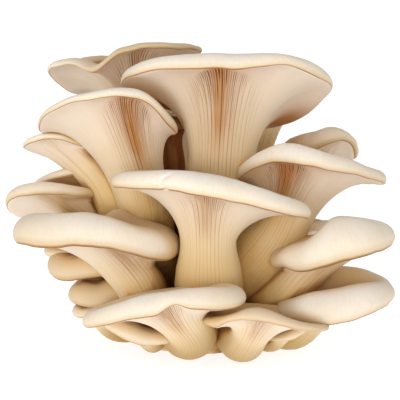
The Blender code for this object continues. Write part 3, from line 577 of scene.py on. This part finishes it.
def new_material(name, roughness, specular, glow, reach):
    """A material whose light soaks in as far as reach, in metres, and its Principled shader."""
    skin = bpy.data.materials.new(name)
    skin.use_nodes = True
    tree = skin.node_tree
    shader = tree.nodes["Principled BSDF"]
    shader.inputs["Roughness"].default_value = roughness
    shader.inputs["Specular IOR Level"].default_value = specular
    shader.inputs["IOR"].default_value = 1.4
    shader.inputs["Subsurface Weight"].default_value = glow
    shader.inputs["Subsurface Radius"].default_value = (1.0, 0.55, 0.3)
    shader.inputs["Subsurface Scale"].default_value = reach
    return skin, tree, shader


def gill_flesh():
    """Living mushroom flesh, grown in thin gills: matt, pale and waxy, with painted warm shade between the gills, in
    the funnel's heart and among neighbours.
    """
    skin, tree, shader = new_material("oyster mushroom gill flesh", 0.62, 0.3, 0.4, 0.0015)
    along, turn, furrow, painted_warm_shade, lines, occlusion_shade, low_darkening = (
        add(tree, "ShaderNodeAttribute", attribute_name=name).outputs["Fac"]
        for name in ("along", "turn", "furrow", "painted_warm_shade", "lines", "occlusion_shade", "low_darkening"))
    half = add(tree, "ShaderNodeMath", {0: along, 1: 0.5}, operation="MULTIPLY", use_clamp=True)
    # From the brown root up the straw-yellow stem to the ivory underside.
    base = add(tree, "ShaderNodeValToRGB", {"Fac": half},
               stops={0.0: "#94682E", 0.14: "#B0884E", 0.3: "#CCA86C", 0.42: "#E0C48E", 0.55: "#EAD5B0",
                      0.72: "#ECDCC6", 0.97: "#EDE0D2"})
    # Painted shade in the furrows: straw-brown down the stem and rust-brown among the gills.
    deep = add(tree, "ShaderNodeMix", {0: painted_warm_shade, 6: linear("#B08444"), 7: linear("#682A06")}, data_type="RGBA")
    strength = add(tree, "ShaderNodeMath", {0: painted_warm_shade, 1: 0.7, 2: 0.6}, operation="MULTIPLY_ADD", use_clamp=True)
    strength = add(tree, "ShaderNodeMath", {0: strength, 1: furrow}, operation="MULTIPLY", use_clamp=True)
    strength = add(tree, "ShaderNodeMath", {0: strength, 1: lines}, operation="MULTIPLY", use_clamp=True)
    # Painted shade: the whole heart of the funnel is painted warmer and darker.
    glow = add(tree, "ShaderNodeValToRGB", {"Fac": half}, stops={0.35: "#D0A450", 0.52: "#BC8446", 0.97: "#B87A48"})
    heart_shade_share = add(tree, "ShaderNodeMath", {0: painted_warm_shade, 1: 0.8}, operation="MULTIPLY", use_clamp=True)
    heart_shaded = add(tree, "ShaderNodeMix", {0: heart_shade_share, 6: base.outputs[0], 7: glow.outputs[0]}, data_type="RGBA")
    furrow_shaded = add(tree, "ShaderNodeMix", {0: strength, 6: heart_shaded, 7: deep}, data_type="RGBA")
    # Fine fibres that run with the gills, about 0.4 mm apart.
    strand = add(tree, "ShaderNodeMath", {0: turn, 1: 240.0}, operation="MULTIPLY")
    rise = add(tree, "ShaderNodeMath", {0: along, 1: 3.0}, operation="MULTIPLY")
    place = add(tree, "ShaderNodeCombineXYZ", {0: strand, 1: rise})
    fibres = add(tree, "ShaderNodeTexNoise", {"Vector": place, "Scale": 1.0, "Detail": 3.0})
    fibre = add(tree, "ShaderNodeMapRange", {0: fibres.outputs[0], 1: 0.3, 2: 0.75, 3: 0.0, 4: 0.2})
    streaked = add(tree, "ShaderNodeMix", {0: fibre, 6: furrow_shaded, 7: linear("#DCC190")}, data_type="RGBA")
    # Soft cloudy patches of rose-grey and straw, about 20 mm across.
    spot = add(tree, "ShaderNodeTexCoord").outputs["Object"]
    clouds = add(tree, "ShaderNodeTexNoise", {"Vector": spot, "Scale": 45.0, "Detail": 2.0})
    cloud = add(tree, "ShaderNodeMapRange", {0: clouds.outputs[0], 1: 0.45, 2: 0.75, 3: 0.0, 4: 0.3})
    mottled = add(tree, "ShaderNodeMix", {0: cloud, 6: streaked, 7: linear("#E0CCB0")}, data_type="RGBA")
    # The flesh low on the stems and bulbs is darker and browner towards the bottom.
    low_darkening_share = add(tree, "ShaderNodeMapRange", {0: low_darkening, 1: 0.0, 2: 1.0, 3: 0.0, 4: 0.6})
    darkened_low = add(tree, "ShaderNodeMix", {0: low_darkening_share, 6: mottled, 7: linear("#987642")}, data_type="RGBA")
    # Painted shade: flesh shut in between its neighbours is painted golden, and deep among them dark brown.
    near = add(tree, "ShaderNodeMapRange", {0: occlusion_shade, 1: 0.38, 2: 0.8, 3: 0.0, 4: 0.6})
    shaded = add(tree, "ShaderNodeMix", {0: near, 6: darkened_low, 7: linear("#E2B868")}, data_type="RGBA")
    shut = add(tree, "ShaderNodeMapRange", {0: occlusion_shade, 1: 0.6, 2: 0.92, 3: 0.0, 4: 1.0})
    painted_deep_shade = add(tree, "ShaderNodeMix", {0: shut, 6: shaded, 7: linear("#8C5020")}, data_type="RGBA")
    tree.links.new(painted_deep_shade.outputs[2], shader.inputs["Base Color"])
    grain = add(tree, "ShaderNodeBump", {"Strength": 0.35, "Distance": 0.0002, "Height": fibres.outputs[0]})
    # The stem's skin creases across, every 2 mm or so, most where it bends.
    across = add(tree, "ShaderNodeMath", {0: along, 1: 26.0}, operation="MULTIPLY")
    little = add(tree, "ShaderNodeMath", {0: turn, 1: 9.0}, operation="MULTIPLY")
    where = add(tree, "ShaderNodeCombineXYZ", {0: across, 1: little})
    creases = add(tree, "ShaderNodeTexNoise", {"Vector": where, "Scale": 1.0, "Detail": 2.0})
    stem = add(tree, "ShaderNodeMapRange", {0: along, 1: 0.95, 2: 0.6, 3: 0.0, 4: 0.5})
    folded = add(tree, "ShaderNodeBump", {"Strength": stem, "Distance": 0.0009, "Height": creases.outputs[0],
                                          "Normal": grain.outputs[0]})
    tree.links.new(folded.outputs[0], shader.inputs["Normal"])
    return skin


def cap_skin():
    """A mushroom cap's thin smooth skin: cream and faintly satin, browner on old caps and in the hollow, with painted
    shade at the crease, towards each cap's sides and among its neighbours.
    """
    skin, tree, shader = new_material("oyster mushroom cap skin", 0.5, 0.35, 0.3, 0.004)
    along, turn, tan, bruise, occlusion_shade = (
        add(tree, "ShaderNodeAttribute", attribute_name=name).outputs["Fac"]
        for name in ("along", "turn", "tan", "bruise", "occlusion_shade"))
    over = add(tree, "ShaderNodeMapRange", {0: along, 1: 2.0, 2: 4.0, 3: 0.0, 4: 1.0})
    # From the painted shade of the brown crease over the ivory margin to the tan hollow.
    base = add(tree, "ShaderNodeValToRGB", {"Fac": over},
               stops={0.0: "#87592A", 0.018: "#A97A44", 0.04: "#E2CCA8", 0.12: "#EDE3D1", 0.38: "#F0E9E0",
                      0.62: "#E6D2B8", 1.0: "#AC8050"})
    old = add(tree, "ShaderNodeValToRGB", {"Fac": over},
              stops={0.0: "#835728", 0.03: "#AE8450", 0.12: "#D0B488", 0.42: "#C8AA7A", 1.0: "#9A6A38"})
    aged_and_shaded = add(tree, "ShaderNodeMix", {0: tan, 6: base.outputs[0], 7: old.outputs[0]}, data_type="RGBA")
    strand = add(tree, "ShaderNodeMath", {0: turn, 1: 150.0}, operation="MULTIPLY")
    rise = add(tree, "ShaderNodeMath", {0: along, 1: 4.0}, operation="MULTIPLY")
    place = add(tree, "ShaderNodeCombineXYZ", {0: strand, 1: rise})
    fibres = add(tree, "ShaderNodeTexNoise", {"Vector": place, "Scale": 1.0, "Detail": 2.0})
    fibre = add(tree, "ShaderNodeMapRange", {0: fibres.outputs[0], 1: 0.4, 2: 0.8, 3: 0.0, 4: 0.18})
    streaked = add(tree, "ShaderNodeMix", {0: fibre, 6: aged_and_shaded, 7: linear("#D4B78C")}, data_type="RGBA")
    spot = add(tree, "ShaderNodeTexCoord").outputs["Object"]
    clouds = add(tree, "ShaderNodeTexNoise", {"Vector": spot, "Scale": 38.0, "Detail": 3.0})
    cloud = add(tree, "ShaderNodeMapRange", {0: clouds.outputs[0], 1: 0.45, 2: 0.8, 3: 0.0, 4: 0.35})
    mottled = add(tree, "ShaderNodeMix", {0: cloud, 6: streaked, 7: linear("#DFC8A4")}, data_type="RGBA")
    torn = add(tree, "ShaderNodeMix", {0: bruise, 6: mottled, 7: linear("#FFF8EA")}, data_type="RGBA")
    # Painted shade: skin shut in between its neighbours is painted golden, and deep among them brown.
    near = add(tree, "ShaderNodeMapRange", {0: occlusion_shade, 1: 0.25, 2: 0.7, 3: 0.0, 4: 0.65})
    shaded = add(tree, "ShaderNodeMix", {0: near, 6: torn, 7: linear("#D2B078")}, data_type="RGBA")
    shut = add(tree, "ShaderNodeMapRange", {0: occlusion_shade, 1: 0.75, 2: 1.0, 3: 0.0, 4: 0.7})
    painted_deep_shade = add(tree, "ShaderNodeMix", {0: shut, 6: shaded, 7: linear("#94541F")}, data_type="RGBA")
    tree.links.new(painted_deep_shade.outputs[2], shader.inputs["Base Color"])
    grain = add(tree, "ShaderNodeTexNoise", {"Vector": spot, "Scale": 900.0, "Detail": 2.0})
    bump = add(tree, "ShaderNodeBump", {"Strength": 0.2, "Distance": 0.0001, "Height": grain.outputs[0]})
    tree.links.new(bump.outputs[0], shader.inputs["Normal"])
    return skin


def butt_flesh():
    """The firm base of the cluster, torn and cut: matt straw flesh, with brown where it grew against the wood."""
    skin, tree, shader = new_material("mushroom butt flesh", 0.75, 0.25, 0.15, 0.003)
    spot = add(tree, "ShaderNodeTexCoord").outputs["Object"]
    patches = add(tree, "ShaderNodeTexNoise", {"Vector": spot, "Scale": 130.0, "Detail": 5.0, "Roughness": 0.6})
    shade = add(tree, "ShaderNodeValToRGB", {"Fac": patches.outputs[0]},
                stops={0.3: "#8F6236", 0.48: "#C29A62", 0.62: "#DCC08E", 0.8: "#EAD7B0"})
    tree.links.new(shade.outputs[0], shader.inputs["Base Color"])
    bump = add(tree, "ShaderNodeBump", {"Strength": 0.6, "Distance": 0.0006, "Height": patches.outputs[0]})
    tree.links.new(bump.outputs[0], shader.inputs["Normal"])
    return skin


def floor_sheet():
    """A table top of opal acrylic, lit from below as for a catalogue: white, matt, with a faint tooth."""
    skin, tree, shader = new_material("backlit opal acrylic", 0.9, 0.1, 0.0, 0.001)
    spot = add(tree, "ShaderNodeTexCoord").outputs["Object"]
    tooth = add(tree, "ShaderNodeTexNoise", {"Vector": spot, "Scale": 400.0})
    shade = add(tree, "ShaderNodeValToRGB", {"Fac": tooth.outputs[0]}, stops={0.3: "#9E9E9E", 0.7: "#A2A2A2"})
    tree.links.new(shade.outputs[0], shader.inputs["Base Color"])
    shader.inputs["Emission Color"].default_value = linear("#FFFFFF")
    shader.inputs["Emission Strength"].default_value = 0.84
    return skin


# ---------------------------------------------------------------- studio

# The lights: name, place and size in metres, and power in watts.
LIGHTS = (("key light", (-0.6, -0.75, 0.85), (0.7, 0.7), 1.35),
          ("low fill light", (-0.25, -0.98, 0.1), (1.6, 0.2), 4.3))
SURROUND_STRENGTH = 0.63
LIT_MIDDLE = (0, 0, 0.07)
FLOOR_REACH = 20.0


def add_studio():
    """A white floor, two soft lights, an even white surround and the camera."""
    mesh = bpy.data.meshes.new("studio_floor")
    corners = [(x * FLOOR_REACH, y * FLOOR_REACH, 0) for x, y in ((-1, -1), (1, -1), (1, 1), (-1, 1))]
    mesh.from_pydata(corners, [], [(0, 1, 2, 3)])
    floor = bpy.data.objects.new("studio_floor", mesh)
    floor.data.materials.append(floor_sheet())
    bpy.context.collection.objects.link(floor)

    world = bpy.data.worlds.new("white surround")
    world.use_nodes = True
    world.node_tree.nodes["Background"].inputs["Color"].default_value = linear("#FFFFFF")
    world.node_tree.nodes["Background"].inputs["Strength"].default_value = SURROUND_STRENGTH
    bpy.context.scene.world = world

    for name, place, (wide, high), power in LIGHTS:
        light = bpy.data.lights.new(name, "AREA")
        light.shape, light.size, light.size_y, light.energy = "ELLIPSE", wide, high, power
        lamp = bpy.data.objects.new(name, light)
        lamp.location = place
        lamp.rotation_euler = (Vector(LIT_MIDDLE) - Vector(place)).to_track_quat("-Z", "Y").to_euler()
        bpy.context.collection.objects.link(lamp)

    # The camera stands 0.8 m in front, 8 degrees above the level, and sees 184 mm across at the cluster.
    camera = bpy.data.objects.new("camera", bpy.data.cameras.new("camera"))
    away, across, height = 0.8, 0.184, np.radians(8)
    aim = Vector((0, -0.010, 0.0675))
    back = Vector((0, -np.cos(height), np.sin(height)))
    camera.location = aim + back * away
    camera.rotation_euler = (-back).to_track_quat("-Z", "Y").to_euler()
    camera.data.sensor_width = 36
    camera.data.lens = 36 * away / across
    bpy.context.collection.objects.link(camera)
    bpy.context.scene.camera = camera
    bpy.context.scene.view_settings.view_transform = "Standard"


def tree_of(nodes):
    """All the solids as one tree for rays."""
    points, faces = [], []
    for node in nodes.values():
        faces += [[len(points) + number for number in face.vertices] for face in node.data.polygons]
        points += [vertex.co for vertex in node.data.vertices]
    return BVHTree.FromPolygons(points, faces)


def main():
    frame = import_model()
    cluster = tree_of(frame["nodes"])
    add_studio()
    tree, flesh, skin = gill_tree(), gill_flesh(), cap_skin()
    for number, m in enumerate(MUSHROOMS):
        piece = add_mushroom(m, number, cluster)
        raise_gills(piece, tree, {"Gills": m.gills, "Unevenness": 0.0008, "Seed": number, "Gill flesh": flesh,
                                  "Cap skin": skin})
        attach(piece, "root")
        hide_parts(m.name)
    butt = add_butt()
    butt.data.materials.append(butt_flesh())
    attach(butt, "root")
    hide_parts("butt")


main()
